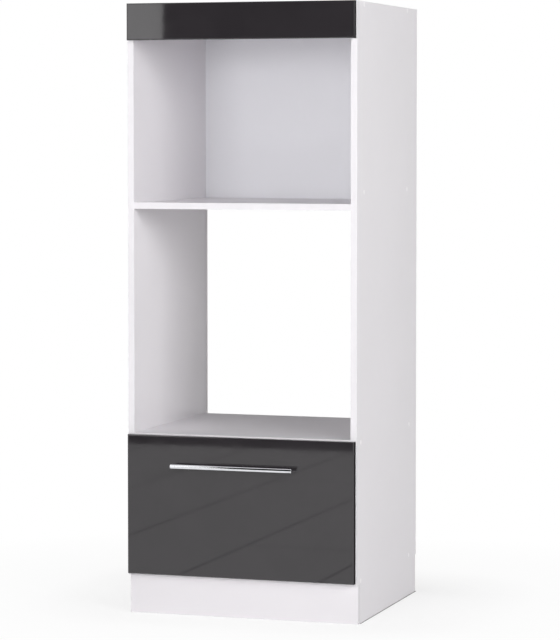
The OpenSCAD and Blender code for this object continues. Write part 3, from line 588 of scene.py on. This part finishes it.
def distance_outside(s, middle, half):
    """Distance of a point of the floor from a level rectangle, 0 inside it."""
    centred = s.vector_math("SUBTRACT", s.coords(), (*middle, 0.0))
    away = s.vector_math("ABSOLUTE", centred.outputs[0])
    beyond = s.vector_math("SUBTRACT", away.outputs[0], (*half, 0.0))
    outside = s.vector_math("MAXIMUM", beyond.outputs[0])
    return s.vector_math("LENGTH", outside.outputs[0]).outputs["Value"]


def tile_joints(s):
    """1 on the joints of the tiles that the gloss fronts mirror, 0 elsewhere. Rows run along Y."""
    split = s.add("SeparateXYZ")
    s.link(s.coords(), split.inputs[0])
    width, length = TILE_SIZE
    along = s.math("ADD", split.outputs["Y"], length / 2 - TILE_CORNER[1])
    across = s.math("ADD", split.outputs["X"], -TILE_CORNER[0])
    turned = s.add("CombineXYZ")
    s.link(along, turned.inputs["X"])
    s.link(across, turned.inputs["Y"])
    brick = s.add("TexBrick")
    s.link(turned.outputs[0], brick.inputs["Vector"])
    brick.inputs["Scale"].default_value = 1.0
    brick.inputs["Brick Width"].default_value = length
    brick.inputs["Row Height"].default_value = width
    brick.inputs["Mortar Size"].default_value = JOINT_HALF
    mirrored = s.add("LightPath").outputs["Is Glossy Ray"]
    return s.math("MULTIPLY", brick.outputs["Fac"], mirrored)


def white_share(s):
    """How white the floor is, by its distance from the cabinet."""
    away = distance_outside(s, (0.0, SHADOW_CENTRE), (CAD_HIGH[0], SHADOW_HALF))
    return s.ramp(s.math("MULTIPLY", away, 1.0 / FLOOR_FADE), WHITE_SHARE)


def outside_painted_shadow(s):
    """0 on the painted contact shadow round the plinth, 1 away from it."""
    low, high = PLINTH
    middle = ((low[0] + high[0]) / 2, (low[1] + high[1]) / 2)
    half = ((high[0] - low[0]) / 2, (high[1] - low[1]) / 2)
    near = distance_outside(s, middle, half)
    return s.ramp(s.math("MULTIPLY", near, 1.0 / PAINTED_SHADOW_WIDTH), PAINTED_SHADOW_FADE)


def floor():
    """Pale floor that keeps the shadow near the cabinet and turns to white away from it."""
    edge = FLOOR_SIZE / 2
    obj = sheet("floor", [(-edge, -edge, 0), (edge, -edge, 0), (edge, edge, 0), (-edge, edge, 0)])
    material, s = new_material("floor")
    white = s.add("Emission")
    shade = s.math("MULTIPLY", tile_joints(s), JOINT_SHADE)
    s.link(s.math("SUBTRACT", 1.0, shade), white.inputs["Strength"])
    seen = s.mix_shader(white_share(s), s.coloured("BsdfDiffuse", WHITE), white.outputs[0])
    # Painted contact shadow: a dark colour on a thin band of floor round the plinth.
    with_painted_shadow = s.mix_shader(outside_painted_shadow(s), s.coloured("BsdfDiffuse", PAINTED_CONTACT_SHADOW), seen)
    both = s.mix_shader(seen_rays(s), s.coloured("BsdfDiffuse", FLOOR_COLOUR), with_painted_shadow)
    s.link(both, s.add("OutputMaterial").inputs["Surface"])
    obj.data.materials.append(material)


def world():
    """Dim light on the object, and white where the camera or a reflection looks past it."""
    made = bpy.data.worlds.new("studio")
    bpy.context.scene.world = made
    made.use_nodes = True
    s = Shader(made.node_tree)
    both = s.mix_shader(seen_rays(s), s.coloured("Background", AMBIENT),
                        s.coloured("Background", WHITE))
    s.link(both, s.add("OutputWorld").inputs["Surface"])


def card(name, y, outline, strength):
    """An upright panel at depth y that only reflections see. The outline is in X and Z."""
    obj = sheet(name, [(x, y, z) for x, z in outline])
    material, s = new_material(name)
    glow = s.add("Emission")
    glow.inputs["Strength"].default_value = strength
    s.link(glow.outputs[0], s.add("OutputMaterial").inputs["Surface"])
    obj.data.materials.append(material)
    obj.visible_camera = False
    obj.visible_diffuse = False
    obj.visible_shadow = False
    obj.visible_transmission = False


def reflected_room():
    """What the gloss fronts, the chrome and the satin boards mirror."""
    card("dark_wall", WALL_Y, WALL, WALL_STRENGTH)
    card("low_light", LIGHT_Y, LOW_LIGHT, LIGHT_STRENGTH)
    card("high_light", LIGHT_Y, HIGH_LIGHT, LIGHT_STRENGTH)
    card("window", WINDOW_Y, WINDOW, WINDOW_STRENGTH)
    card("dark_behind", BEHIND_Y, BEHIND, BEHIND_STRENGTH)


def lamp(name, location, size, power):
    """A soft lamp aimed at the cabinet that neither the camera nor a reflection sees."""
    data = bpy.data.lights.new(name, "AREA")
    data.shape = "RECTANGLE"
    data.size, data.size_y = size
    data.energy = power
    obj = bpy.data.objects.new(name, data)
    obj.location = location
    aim = Vector(LAMP_TARGET) - Vector(location)
    obj.rotation_euler = aim.to_track_quat("-Z", "Y").to_euler()
    obj.visible_glossy = False
    obj.visible_camera = False
    bpy.context.scene.collection.objects.link(obj)


floor()
world()
reflected_room()
for settings in LAMPS:
    lamp(*settings)
